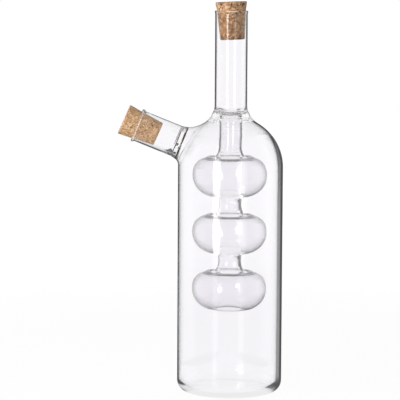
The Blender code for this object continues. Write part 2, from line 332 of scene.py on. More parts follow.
put(innerPath, "jarGlass", jarRows(jar["radius"] - jar["wall"], jar["floor"], jar["floorRise"], 2,
                                   jar["innerCorner"], 22, (0.0105, 0.013)))
innerHoleLow = len(innerPath)
put(innerPath, "jarGlass", shoulderRows(jar["wall"], seal["innerLow"]))
innerHoleHigh = len(innerPath) - 1
put(innerPath, "sealGlass", bezierPoints((0.01310, 0.1829), (0.0117, 0.1846), (stemRadius, 0.1850),
                                         (stemRadius, 0.1818), 14))

stemNames = ("stemGlass", "upperLinkGlass", "lowerLinkGlass")
bulbNames = ("upperBulbGlass", "middleBulbGlass", "lowerBulbGlass")
top = sealLow
seamHeights = []
heelHeights = []
for i, (stemName, bulbName) in enumerate(zip(stemNames, bulbNames)):
    foot = top - (inner["linkLength"] if i else inner["stemLength"])
    if i:
        edge = headEdge
        put(innerPath, stemName, bezierPoints((edge + 0.0018, top + gap + 0.0001), (edge + 0.0006, top + gap),
                                              (edge - 0.0001, top), (edge - 0.0003, top - 0.0008), 7))
        put(innerPath, stemName, headRows(stemRadius, top))
        edge -= inner["stemWall"]
        put(outerPath, stemName, bezierPoints((edge + 0.0018, top + 0.0009), (edge + 0.0006, top + 0.0009),
                                              (edge, top + 0.0006), (edge - 0.0001, top - 0.0004), 8))
        put(outerPath, stemName, headRows(stemBore, top))
    else:
        footTop = foot + inner["flareLength"]
        for path, radius in ((innerPath, stemRadius), (outerPath, stemBore)):
            put(path, stemName, linePoints((radius, seal["stemStart"]), (radius, footTop), 8))
    # the foot is melted down on to the crown, and its weld hangs into the bulb as a small bead around the hole
    put(innerPath, stemName, footRows(stemRadius, foot, 0.05))
    put(innerPath, stemName, bezierPoints((footEdge, foot), (footEdge + 0.0003, foot - gap - 0.0001),
                                          (footEdge + 0.0007, foot - gap), (footEdge + 0.0014, foot - gap), 4))
    crownTop = foot - gap
    seamHeights.append(crownTop - inner["seamBelow"])
    drop = inner["crownWall"] + inner["seamDrop"] + 0.0007
    boreFoot = stemBore + inner["footFlare"]
    put(outerPath, stemName, footRows(stemBore, foot, 0.0))
    put(outerPath, stemName, bezierPoints((boreFoot, foot), (boreFoot - 0.0002, crownTop - drop),
                                          (boreFoot + 0.0016, crownTop - drop),
                                          (boreFoot + 0.0016, crownTop - inner["crownWall"] - 0.00005), 14))
    outline, equator, bottom = bulbOutline(i, crownTop, i == 2)
    put(innerPath, bulbName, outline)
    # blown thin at the belly, with more glass left at the crown and a little at the heel
    walls = []
    for radius, height in outline:
        thick, thin = ("crownWall", "crownThin") if height > equator else ("heelWall", "heelThin")
        share = 1.0 - smooth(radius, *inner[thin])
        walls.append(inner["bulbWall"] + (inner[thick] - inner["bulbWall"]) * share)
    inside = shiftOutline(outline, walls)
    put(outerPath, bulbName, [row for row in inside if row[0] > boreFoot + 0.0018 or row[1] < equator])
    top = bottom - gap
    heelHeights.append(top)
print("outlines drawn:", len(outerPath), "and", len(innerPath), "rows")


cadNodes = {
    "jarGlass": "outer_jar", "sealGlass": "neck_seal_ring", "neckGlass": "neck_tube", "stemGlass": "inner_stem",
    "upperBulbGlass": "upper_bulb", "upperLinkGlass": "upper_link_tube", "middleBulbGlass": "middle_bulb",
    "lowerLinkGlass": "lower_link_tube", "lowerBulbGlass": "lower_bulb", "spoutWeldGlass": "spout_weld_ring",
    "spoutGlass": "spout_tube",
}
pieceNumbers = {name: number for number, name in enumerate(cadNodes)}
skin = bmesh.new()
pieceLayer = skin.faces.layers.int.new("piece")
chamberLayer = skin.verts.layers.int.new("chamber")    # 0 for the bottle's outside, 1 for the jar's inside


def skinBetween(low, high, name, skipped=()):
    for face in joinRings(skin, low, high, skipped):
        face[pieceLayer] = pieceNumbers[name]


def markChamber(rings, chamber):
    for ring in rings:
        for vert in ring:
            vert[chamberLayer] = chamber


def turnPath(path, holeLow, holeHigh, chamber):
    # turns the path into skin, but for the spout's opening, and gives the opening's edge
    segments = jar["segments"]
    rings = turnRings(skin, [row for name, row in path], segments)
    markChamber(rings, chamber)
    first = segments // 2 - spout["halfSpan"]
    last = segments // 2 + spout["halfSpan"]
    for i, (low, high) in enumerate(zip(rings, rings[1:])):
        skinBetween(low, high, path[i + 1][0], range(first, last) if holeLow <= i < holeHigh else ())
    loop = [rings[holeLow][c] for c in range(first, last + 1)]
    loop += [rings[r][last] for r in range(holeLow + 1, holeHigh + 1)]
    loop += [rings[holeHigh][c] for c in range(last - 1, first - 1, -1)]
    loop += [rings[r][first] for r in range(holeHigh - 1, holeLow, -1)]
    return loop


def spoutRoot(loop, radius, inset, end, chamber):
    # rings from the opening in the jar's mesh, over its surface to the foot, and up to the boss's end
    back = spoutPlace.inverted()
    flat = [back @ vert.co for vert in loop]
    angles = [math.atan2(p.y, p.x) for p in flat]
    rings = []
    feet = []
    fillet, above = (spout["innerFillet"], spout["innerFilletAbove"]) if inset else (
        spout["fillet"], spout["filletAbove"])
    for x, y in ((math.cos(angle), math.sin(angle)) for angle in angles):
        foot = radius + fillet + (above - fillet) * max(x, 0.0) ** 2
        probe = fillet / 4
        low = spoutReach(foot * x, foot * y, inset)
        near = spoutReach((foot - probe) * x, (foot - probe) * y, inset)
        throat = min(radius + spout["weldSpread"], foot - 0.0004)
        bend = throat + spout["tightness"] * (foot - throat)
        bendHeight = min(low + (near - low) / probe * (foot - bend), end)
        feet.append((x, y, foot, low, throat, bend, bendHeight))
    for share in (k / 7 for k in range(1, 7)):
        ring = []
        for p, (x, y, foot, *rest) in zip(flat, feet):
            px = p.x + (foot * x - p.x) * share
            py = p.y + (foot * y - p.y) * share
            ring.append(skin.verts.new(spoutPlace @ Vector((px, py, spoutReach(px, py, inset)))))
        rings.append(ring)
    for share in (1.0 - k / 14 for k in range(15)):
        rest = 1.0 - share
        ring = []
        for x, y, foot, low, throat, bend, bendHeight in feet:
            r = throat * rest ** 2 + 2 * bend * share * rest + foot * share ** 2
            z = end * rest ** 2 + 2 * bendHeight * share * rest + low * share ** 2
            ring.append(skin.verts.new(spoutPlace @ Vector((r * x, r * y, z))))
        rings.append(ring)
    markChamber(rings, chamber)
    return angles, rings


def weldRow(radius, share, side, start, length):
    # spreads towards the boss and swells in its middle, outwards or inwards
    swell = spout["weldBulge"] * math.sin(math.pi * share)
    return radius + spout["weldSpread"] * (1.0 - share) ** 2 + side * swell, start + length * share


def spoutRows(bossEnd, weldStart, tubeStart):
    # outer face from the boss out to the lip, then the bore back in
    mouth = tubeStart + spout["length"]
    straight = mouth - spout["lipHeight"]
    weld = [weldRow(spout["radius"], i / 15, 1, bossEnd, tubeStart - bossEnd) for i in range(1, 16)]
    tube = [(spout["radius"], tubeStart + (straight - tubeStart) * i / 12) for i in range(1, 13)]
    tube += beadRows(spout["radius"], spout["wall"], spout["lipBead"], mouth)
    for i in range(23):
        share = 1.0 - (1.0 - i / 22) ** 1.6
        tube.append((spoutBore, straight + (tubeStart + 0.0006 - straight) * share))
    # two sharp creases run round the inside, one at each edge of the weld
    crease = [(spoutBore + depth, tubeStart + offset) for offset, depth in spout["crease"]]
    crease += [weldRow(spoutBore, 1.0 - i / 8, -1, weldStart + 0.0005, tubeStart - weldStart - 0.001)
               for i in range(1, 8)]
    base = spoutBore + spout["weldSpread"]
    crease += [(base + depth, weldStart + offset) for offset, depth in spout["crease"]]
    named = (("spoutWeldGlass", weld), ("spoutGlass", tube), ("spoutWeldGlass", crease))
    return [(name, *row) for name, rows in named for row in rows], mouth


outerLoop = turnPath(outerPath, outerHoleLow, outerHoleHigh, 0)
innerLoop = turnPath(innerPath, innerHoleLow, innerHoleHigh, 1)
bossEnd = spoutReach(0.0, 0.0, 0.0) + spout["bossLength"]
weldStart = bossEnd + gap
tubeStart = weldStart + spout["weldWidth"] + gap
outerAngles, outerRings = spoutRoot(outerLoop, spout["radius"], 0.0, bossEnd, 0)
innerAngles, innerRings = spoutRoot(innerLoop, spoutBore, jar["wall"], bossEnd, 1)
rows, spoutMouth = spoutRows(bossEnd, weldStart, tubeStart)
bridge = [("jarGlass", ring) for ring in [outerLoop] + outerRings]
for i, (name, radius, height) in enumerate(rows):
    share = (i + 1) / (len(rows) + 1)
    ring = []
    for first, last in zip(outerAngles, innerAngles):
        turn = (last - first + math.pi) % math.tau - math.pi
        angle = first + turn * share
        ring.append(skin.verts.new(spoutPlace @ polar(radius, angle, height)))
    bridge.append((name, ring))
bridge += [("jarGlass", ring) for ring in innerRings[::-1] + [innerLoop]]
for (lowName, low), (name, high) in zip(bridge, bridge[1:]):
    skinBetween(low, high, name)
loose = [vert for vert in skin.verts if not vert.link_faces]
bmesh.ops.delete(skin, geom=loose, context="VERTS")
bmesh.ops.recalc_face_normals(skin, faces=skin.faces)
openEdges = sum(1 for edge in skin.edges if len(edge.link_faces) != 2)
print("glass skin:", len(skin.faces), "faces,", openEdges, "open edges")

handwork = {
    "wander": 0.00004, "wanderSize": 0.022,    # slow unevenness of drawn tube
    "sealLumps": 0.00014, "sealLumpSize": 0.0034, "sealRadius": 0.0128,
    "seamLumps": 0.00060, "seamLumpSize": 0.0013,
    "seamReach": (0.0010, 0.0022), "seamRadius": (0.0105, 0.0125),
    "swellBelow": 0.0045, "swellAbove": 0.0025, "swellRadius": (0.0118, 0.0190), "swellSide": (0.70, 0.93),
    "shifts": (    # (from, to, how far) for the bores of the stem and the links
        (0.1570, 0.1830, inner["stemShift"]), (0.1190, 0.1312, inner["linkShift"]),
        (0.0810, 0.0932, inner["linkShift"]),
    ),
    "drips": (    # (place along the spout, angle from its upper side, radius, height) inside the spout's root
        (0.0402, 180.0, 0.0022, 0.0030), (0.0366, 183.0, 0.0013, 0.0016), (0.0355, 166.0, 0.0009, 0.0011),
        (0.0378, -97.0, 0.0006, 0.0009), (0.0353, -108.0, 0.0007, 0.0010), (0.0362, 150.0, 0.0008, 0.0008),
    ),
}


def handMove(vert):
    # how far the hand's unevenness moves one vertex of the upright glass
    co = vert.co
    inJar = vert[chamberLayer]
    move = Vector((0.0, 0.0, 0.0))
    radial = math.hypot(co.x, co.y)
    if inJar and (radial > 0.026 or co.z < 0.02):
        hold = (1.0 - smooth(co.z, 0.160, 0.181)) * (1.0 - smooth(radial, 0.0335, 0.0365))
        move.x -= jar["boreShift"] * hold
    slow = noise.noise(co / handwork["wanderSize"] + Vector((3.1, 7.7, 1.3)))
    move += vert.normal * handwork["wander"] * (slow - 1.0) * smooth(co.z, 0.0005, 0.012)
    if sealLow - 0.004 < co.z < sealHigh + 0.003 and radial < handwork["sealRadius"]:
        hold = within(co.z, sealLow - 0.004, sealLow, sealHigh - 0.001, sealHigh + 0.003)
        move += vert.normal * handwork["sealLumps"] * hold * noise.noise(co / handwork["sealLumpSize"])
    # more glass is left at both sides of each crown
    near, far = handwork["swellRadius"]
    for seam in seamHeights:
        if -handwork["swellBelow"] < co.z - seam < handwork["swellAbove"] and near < radial < far:
            side = smooth(abs(co.x) / radial, *handwork["swellSide"])
            swell = side * math.exp(-((radial - inner["ridgeRadius"]) / inner["ridgeWidth"]) ** 2)
            move.z += (inner["ridge"] if inJar else -inner["ringWall"]) * swell
    # the bores of the stems are off their middle
    for low, high, shift in handwork["shifts"]:
        if low < co.z < high and radial < 0.0088:
            hold = within(co.z, low, low + 0.003, high - 0.003, high)
            move.x += (1.0 if inJar else -0.8) * shift * hold
    for seam in seamHeights:
        if abs(co.z - seam) < handwork["seamReach"][1] and radial < handwork["seamRadius"][1]:
            hold = 1.0 - smooth(abs(co.z - seam), *handwork["seamReach"])
            hold *= 1.0 - smooth(radial, *handwork["seamRadius"])
            move += vert.normal * handwork["seamLumps"] * hold * noise.noise(co / handwork["seamLumpSize"])
            # the bead is melted flat at the back
            low = seam + 0.0012 - co.z
            if low > 0.0 and not inJar and radial > stemRadius:
                move.z += low * smooth(co.y, -0.003, 0.003)
    return move


def handWork():
    # small irregularities of flame-worked glass, none of them beyond the CAD's box
    skin.normal_update()
    moves = [handMove(vert) for vert in skin.verts]
    back = spoutPlace.inverted()
    turn = spoutPlace.to_3x3()
    drips = [(polar(spoutBore, math.radians(degrees), distance), size, height)
             for distance, degrees, size, height in handwork["drips"]]
    for vert, move in zip(skin.verts, moves):
        local = back @ vert.co
        radial = math.hypot(local.x, local.y)
        if bossEnd - 0.001 < local.z and radial < spout["radius"] - 0.3 * spout["wall"]:
            hold = within(local.z, bossEnd - 0.001, bossEnd + 0.004, spoutMouth - 0.005, spoutMouth - 0.002)
            move += turn @ Vector((spout["boreLift"] * hold, 0.0, 0.0))
        if 0.025 < local.z < 0.05 and radial < spoutBore + 0.0007:
            for centre, size, height in drips:
                distance = (local - centre).length
                if distance < 2.5 * size:
                    inward = (turn @ Vector((-local.x, -local.y, 0.0))).normalized()
                    move += inward * height * math.exp(-(distance / size) ** 2)
        vert.co += move


handWork()
skin.normal_update()
whole = bpy.data.meshes.new("wholeGlass")
skin.to_mesh(whole)
skin.free()
pieceIds = [value.value for value in whole.attributes["piece"].data]
glassPieces = {}
for name, number in pieceNumbers.items():
    places = {}
    coords, faces, normals = [], [], []
    for polygon, pieceId in zip(whole.polygons, pieceIds):
        if pieceId != number:
            continue
        corners = []
        for v in polygon.vertices:
            if v not in places:
                places[v] = len(coords)
                coords.append(whole.vertices[v].co.copy())
                normals.append(whole.vertices[v].normal.copy())
            corners.append(places[v])
        faces.append(corners)
    mesh = bpy.data.meshes.new(name)
    mesh.from_pydata(coords, [], faces)
    mesh.shade_smooth()
    mesh.normals_split_custom_set_from_vertices(normals)
    piece = addPiece(name, mesh)
    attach(piece, "glass")
    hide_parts(cadNodes[name])
    glassPieces[name] = piece
bpy.data.meshes.remove(whole)
print("glass pieces made:", len(glassPieces))


cork = {
    "length": 0.0250, "headGrowth": 0.0009, "endDrop": 0.0014, "swellHeight": 0.0008, "chamfer": 0.0005,
    "clearance": 0.0001, "segments": 144, "counts": (14, 3, 34, 3, 22, 3, 16),    # the mesh's rows, stretch by stretch
    "pitDepth": 0.00045, "grainDepth": 0.00007, "chipDepth": 0.0006,
}
corkSeats = {    # how far each stands out of its mouth, its lean in degrees, and which relief it gets
    "neckCork": {"bore": neckBore, "mouth": Matrix.Translation((0.0, 0.0, neckTop)), "proud": 0.0059, "lean": -2.6,
                 "seed": 1.0, "body": "neck_stopper", "node": "neck_cork"},
    "spoutCork": {"bore": spoutBore, "mouth": spoutMatrix(spoutMouth), "proud": 0.0094, "lean": 2.1,
                  "seed": 2.0, "body": "spout_stopper", "node": "spout_cork"},
}


def makeCork(name, bore, proud, seed):
    # origin on the cork's axis, level with the mouth it sits in
    seat = bore - cork["clearance"]
    low = proud - cork["length"]
    end, head, chamfer = seat - cork["endDrop"], seat + cork["headGrowth"], cork["chamfer"]
    knots = [(0.0, low), (end - chamfer, low), (end, low + chamfer), (seat, 0.0), (bore, cork["swellHeight"]),
             (head, proud - chamfer), (head - chamfer, proud), (0.0, proud)]
    outline = [knots[0]]
    for a, b, count in zip(knots, knots[1:], cork["counts"]):
        outline += linePoints(a, b, count)[1:]
    bm = bmesh.new()
    rings = turnRings(bm, outline, cork["segments"])
    for lower, upper in zip(rings, rings[1:]):
        joinRings(bm, lower, upper)
    bmesh.ops.recalc_face_normals(bm, faces=bm.faces)
    bm.normal_update()
    shift = Vector((seed * 0.37, seed * 0.11, seed * 0.23))
    for vert in bm.verts:
        co = vert.co
        fine = noise.noise(co / 0.0012 + shift) * 0.6 + noise.noise(co / 0.0006 + shift) * 0.4
        pits = noise.noise(Vector((co.x / 0.0016, co.y / 0.0016, co.z / 0.0030)) + shift * 3)
        dig = smooth(pits, 0.34, 0.62)
        edge = max(smooth(co.z, proud - 0.0012, proud - 0.0002), 1.0 - smooth(co.z, low + 0.0002, low + 0.0012))
        chips = smooth(noise.noise(co / 0.0021 + shift * 5), 0.22, 0.5) * edge
        depth = cork["grainDepth"] * (fine - 1.0) - cork["pitDepth"] * dig - cork["chipDepth"] * chips
        vert.co += vert.normal * depth
    mesh = bpy.data.meshes.new(name)
    bm.to_mesh(mesh)
    bm.free()
    mesh.shade_smooth()
    return addPiece(name, mesh)


corks = {}
for name, place in corkSeats.items():
    piece = makeCork(name, place["bore"], place["proud"], place["seed"])
    piece.matrix_world = place["mouth"] @ Matrix.Rotation(math.radians(place["lean"]), 4, "Y")
    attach(piece, place["body"])
    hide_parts(place["node"])
    corks[name] = piece
print("corks turned")


signs = {"+": "ADD", "-": "SUBTRACT", "*": "MULTIPLY", "/": "DIVIDE", ">": "GREATER_THAN", "<": "LESS_THAN",
         "max": "MAXIMUM", "abs": "ABSOLUTE"}
white = (1.0, 1.0, 1.0, 1.0)
drawing = {}    # holds the node tree that is being built


def feed(socket, value):
    # a node's first output, a socket or a plain value
    if isinstance(value, bpy.types.Node):
        value = value.outputs[0]
    if isinstance(value, bpy.types.NodeSocket):
        drawing["tree"].links.new(value, socket)
    else:
        socket.default_value = value


def addNode(kind, inputs=None, **settings):
    made = drawing["tree"].nodes.new("ShaderNode" + kind)
    for key, value in settings.items():
        setattr(made, key, value)
    for key, value in (inputs or {}).items():
        feed(made.inputs[key], value)
    return made


def maths(a, sign, b=0.0, clamp=False):
    return addNode("Math", {0: a, 1: b}, operation=signs[sign], use_clamp=clamp)


def vectors(a, sign, b):
    return addNode("VectorMath", {0: a, 1: b}, operation=signs[sign])


def remap(value, low, high, toLow=0.0, toHigh=1.0):
    limits = {"Value": value, "From Min": low, "From Max": high, "To Min": toLow, "To Max": toHigh}
    return addNode("MapRange", limits, interpolation_type="SMOOTHSTEP")


def clouds(place, scale, detail, rough=0.5, bend=0.0):
    return addNode("TexNoise", {"Vector": place, "Scale": scale, "Detail": detail, "Roughness": rough,
                                "Distortion": bend})


def blendColours(factor, a, b, mode="MIX"):
    return addNode("Mix", {0: factor, 6: a, 7: b}, data_type="RGBA", blend_type=mode).outputs[2]


def blend(factor, a, b):
    return addNode("Mix", {0: factor, 2: a, 3: b})


def mixShaders(factor, a, b):
    return addNode("MixShader", {0: factor, 1: a, 2: b})


def newGroup(name, inputs, outputs):
    group = bpy.data.node_groups.new(name, "ShaderNodeTree")
    for label, kind, value in inputs:
        socket = group.interface.new_socket(label, in_out="INPUT", socket_type="NodeSocket" + kind)
        if value is not None:
            socket.default_value = value
    for label, kind in outputs:
        group.interface.new_socket(label, in_out="OUTPUT", socket_type="NodeSocket" + kind)
    drawing["tree"] = group
    return group, group.nodes.new("NodeGroupInput").outputs, group.nodes.new("NodeGroupOutput").inputs


def startTree(owner):
    owner.use_nodes = True
    drawing["tree"] = owner.node_tree
    drawing["tree"].nodes.clear()


def newMaterial(name):
    material = bpy.data.materials.new(name)
    startTree(material)
    return material, addNode("OutputMaterial").inputs["Surface"]


def makeDrawnGlass():
    # lengthwise draw lines and slow ripples of blown tube, with a faint haze of handling
    group, take, give = newGroup(
        "drawnGlass",
        [("Place", "Vector", None), ("Line Size", "Float", 0.004), ("Line Stretch", "Float", 0.02),
         ("Ripple Size", "Float", 0.012), ("Ripple Share", "Float", 0.5), ("Haze", "Float", 0.01)],
        [("Height", "Float"), ("Roughness", "Float"), ("Tint Mask", "Float")])
    stretch = addNode("CombineXYZ", {"X": 1.0, "Y": 1.0, "Z": take["Line Stretch"]})
    long = vectors(take["Place"], "*", stretch)
    lines = clouds(long, maths(1.0, "/", take["Line Size"]), 3.0, 0.55)
    ripple = clouds(take["Place"], maths(1.0, "/", take["Ripple Size"]), 1.0, 0.4)
    lineHeight = maths(lines, "*", maths(1.0, "-", take["Ripple Share"]))
    smear = clouds(take["Place"], 70.0, 4.0, 0.6, 0.6)
    feed(give["Height"], maths(lineHeight, "+", maths(ripple, "*", take["Ripple Share"])))
    feed(give["Roughness"], maths(remap(smear, 0.52, 0.72), "*", take["Haze"]))
    feed(give["Tint Mask"], remap(ripple, 0.35, 0.65))
    return group


drawnGlass = makeDrawnGlass()

glassLook = {
    # the lip colour is that of a pale matt layer painted on the lips' crests as a highlight
    "lip": (1.0, 0.83, 0.72, 1.0), "ior": 1.47, "relief": 0.0002,
    "contact": 0.0011,    # below this height the glass touches the paper
    "turns": 2.5,    # light that is turned back more often than this inside the wall is let out
    "through": (0.955, 0.955, 0.96, 1.0), "throughSoft": (0.99, 0.99, 0.99, 1.0),
}
clearTints = ((0.988, 0.981, 0.999, 1.0), (0.987, 0.982, 0.995, 1.0))
weldTints = ((0.955, 0.94, 0.925, 1.0), (0.985, 0.98, 0.98, 1.0))
# near-black tints of painted shade, for the dark lines and blobs that the glass bends at the seams and the drips
paintedShadeTint, seamPaintedShadeToo, dripPaintedShadeToo = (0.003, 0.003, 0.003, 1.0), (0.07, 0.065, 0.055, 1.0), (0.02, 0.02, 0.02, 1.0)
drawnWave = {"Line Size": 0.0035, "Line Stretch": 0.02, "Ripple Size": 0.014, "Ripple Share": 0.5, "Haze": 0.012}
blownWave = {"Line Size": 0.006, "Line Stretch": 0.4, "Ripple Size": 0.012, "Ripple Share": 0.8, "Haze": 0.010}
meltWave = {"Line Size": 0.0012, "Line Stretch": 1.0, "Ripple Share": 0.6, "Haze": 0.02}


def makeGlass(name, tints, wave, bump, shine=0.5, paintedHighlight=0.0, faded=0.0):
    # the share of a pale matt layer painted on as a highlight, for the light led up the wall that comes out here, and
    # how far it is faded: melted so smooth that it hardly bends light
    material, out = newMaterial(name)
    place = addNode("TexCoord").outputs["Object"]
    drawn = addNode("Group", {"Place": place, **wave}, node_tree=drawnGlass).outputs
    relief = addNode("Bump", {"Strength": bump, "Distance": glassLook["relief"], "Height": drawn["Height"]})
    shader = addNode("BsdfPrincipled", {
        "Base Color": blendColours(drawn["Tint Mask"], *tints), "Roughness": drawn["Roughness"],
        "Metallic": 0.0, "IOR": glassLook["ior"], "Transmission Weight": 1.0, "Specular IOR Level": shine,
        "Normal": relief})
    # a pale matt layer over the glass: a painted highlight
    if paintedHighlight:
        shader = mixShaders(paintedHighlight, shader, addNode("BsdfDiffuse", {"Color": glassLook["lip"]}))
    # shadow rays, rays from matt surfaces, the underside and light that has wandered in the wall go straight through
    light = addNode("LightPath").outputs
    straight = maths(light["Is Shadow Ray"], "max", light["Is Diffuse Ray"])
    height = addNode("SeparateXYZ", {0: place}).outputs["Z"]
    straight = maths(straight, "max", maths(height, "<", glassLook["contact"]))
    straight = maths(straight, "max", maths(light["Glossy Depth"], ">", glassLook["turns"]))
    if faded:
        straight = maths(straight, "max", faded)
    clear = addNode("BsdfTransparent", {"Color": glassLook["throughSoft" if faded else "through"]})
    feed(out, mixShaders(straight, shader, clear))
    return material


tubeGlass = makeGlass("tubeGlass", clearTints, drawnWave, 0.04)
stemGlass = makeGlass("stemGlass", clearTints, drawnWave, 0.04, shine=0.12)
blownGlass = makeGlass("blownGlass", clearTints, blownWave, 0.05, shine=0.05)
softGlass = makeGlass("softGlass", clearTints, blownWave, 0.03, shine=0.1, faded=0.95)
weldGlass = makeGlass("weldGlass", weldTints, {**meltWave, "Ripple Size": 0.0025}, 0.2)
# painted shade: glass tinted near black for the dark lines at the seams
seamPaintedShadeGlass = makeGlass("seamPaintedShadeGlass", (paintedShadeTint, seamPaintedShadeToo), {**meltWave, "Ripple Size": 0.0019}, 0.3)
# painted shade: the drips in the spout's root tinted near black, for the dark blobs that the glass bends there
dripPaintedShadeGlass = makeGlass("dripPaintedShadeGlass", (paintedShadeTint, dripPaintedShadeToo), {**meltWave, "Ripple Size": 0.0012}, 0.3)
# glass for the lips, with a pale matt layer painted on as the bright line along the rim
lipPaintedHighlightGlass = makeGlass("lipPaintedHighlightGlass", clearTints, {**meltWave, "Ripple Size": 0.004}, 0.2, paintedHighlight=0.75)
for names, material in ((stemNames, stemGlass), (bulbNames, blownGlass), (("sealGlass", "spoutWeldGlass"), weldGlass),
                        (("jarGlass", "neckGlass", "spoutGlass"), tubeGlass)):
    for name in names:
        glassPieces[name].data.materials.append(material)


def dressFaces(names, material, place, chosen):
    # gives the faces that are chosen by their place, in the axes given, a second material
    back = place.inverted()
    for name in names:
        mesh = glassPieces[name].data
        if material.name not in mesh.materials:
            mesh.materials.append(material)
        index = mesh.materials.find(material.name)
        for polygon in mesh.polygons:
            if chosen(back @ polygon.center):
                polygon.material_index = index


def inZone(spot, levels, limits):
    # z counts from any of the levels; aside is the distance from the middle plane, radial that from the axis
    low, high = limits["z"]
    if not any(low < spot.z - level < high for level in levels):
        return False
    where = {"x": spot.x, "y": spot.y, "aside": abs(spot.x), "radial": math.hypot(spot.x, spot.y)}
    return all(low < where[key] < high for key, (low, high) in limits.items() if key != "z")


def onSealArch(spot):
    return (0.1805 < spot.z < 0.1862 and
            stemRadius - 0.0002 < math.hypot(spot.x, spot.y) < jarRadiusAt(spot.z, 0.0) - 0.0009)


def onDrip(spot):
    if math.hypot(spot.x, spot.y) >= spoutBore + 0.0004:
        return False
    for distance, degrees, size, height in handwork["drips"]:
        turn = (math.atan2(spot.y, spot.x) - math.radians(degrees) + math.pi) % math.tau - math.pi
        if math.hypot(spoutBore * turn, spot.z - distance) < 1.7 * size:
            return True
    return False


far = 1.0    # no limit on that side
upright = Matrix.Identity(4)
ground = (0.0,)
stack = stemNames + bulbNames
rootNames = ("spoutWeldGlass", "spoutGlass", "jarGlass")
creaseRing = (spoutBore - 0.0004, spoutBore + 0.0024)
glassZones = (    # (pieces, second material, axes, levels, limits of each zone)
    # painted highlight: the lips' crests, the neck's on its front only, get the glass with a pale matt layer for the
    # bright line along the rim
    (("neckGlass",), lipPaintedHighlightGlass, corkSeats["neckCork"]["mouth"], ground,
     {"z": (-0.00055, -0.0001), "x": (-0.0038, 0.0058), "y": (-far, -0.0100)}),
    (("spoutGlass",), lipPaintedHighlightGlass, corkSeats["spoutCork"]["mouth"], ground,
     {"z": (-0.0014, -0.0008), "radial": (spoutBore + spout["lipBead"], far)}),
    # the bowl in the seal, all of its back and the start of its front, and the seal's sides
    (("sealGlass", "neckGlass"), softGlass, upright, ground,
     {"z": (0.1862, 0.1895), "radial": (-far, 0.0100), "y": (0.001, far)},
     {"z": (0.1872, 0.1895), "radial": (-far, 0.0100), "aside": (-far, 0.0080)}),
    (("sealGlass", "jarGlass"), softGlass, upright, ground, {"z": (0.1810, 0.1868), "aside": (0.0072, 0.0120)}),
    # the middle of the spout's weld
    (("spoutWeldGlass",), softGlass, spoutPlace, ground,
     {"z": (weldStart + 0.0003, tubeStart - 0.0003), "aside": (-far, 0.0080)}),
    # the bulbs' heels and their lips, and the lowest one's dent
    (stack, softGlass, upright, heelHeights[:2], {"z": (-0.0016, 0.0016), "radial": (-far, 0.0112)},
     {"z": (-0.0024, 0.0024), "aside": (-far, 0.0085), "radial": (0.0100, 0.0172)}),
    (stack, softGlass, upright, heelHeights[2:], {"z": (-0.0042, 0.0042), "radial": (-far, 0.0085)}),
    # the flat around each stem's foot, the far edge of the crown, and the foot's back and front
    (stack, softGlass, upright, seamHeights, {"z": (0.0, 0.0026), "radial": (0.0100, 0.0128)},
     {"z": (0.0, 0.0030), "radial": (-far, 0.0160), "aside": (-far, 0.0085), "y": (0.0, far)},
     {"z": (-0.0010, 0.0050), "radial": (0.0060, 0.0125), "y": (0.0, far)},
     {"z": (0.0014, 0.0052), "radial": (0.0060, 0.0125), "aside": (-far, 0.0064)}),
    # painted shade: glass tinted near black at the front of each crown's seam, and in the creases at both edges of the
    # spout's weld, for the dark lines that the glass bends there
    (stemNames, seamPaintedShadeGlass, upright, seamHeights,
     {"z": (-0.0012, 0.0012), "radial": (stemRadius, 0.0112), "y": (-far, -0.001)}),
    (rootNames, seamPaintedShadeGlass, spoutPlace, (tubeStart,),
     {"z": (-0.00032, 0.00032), "radial": creaseRing, "x": (-0.004, far)}),
    (rootNames, seamPaintedShadeGlass, spoutPlace, (weldStart,), {"z": (-0.00032, 0.00032), "radial": creaseRing}),
)
for names, material, place, levels, *zones in glassZones:
    dressFaces(names, material, place, lambda spot: any(inZone(spot, levels, limits) for limits in zones))
dressFaces(("sealGlass",), softGlass, upright, onSealArch)
# painted shade: the drips' faces get the near-black glass
dressFaces(rootNames, dripPaintedShadeGlass, spoutPlace, onDrip)
print("glass dressed")


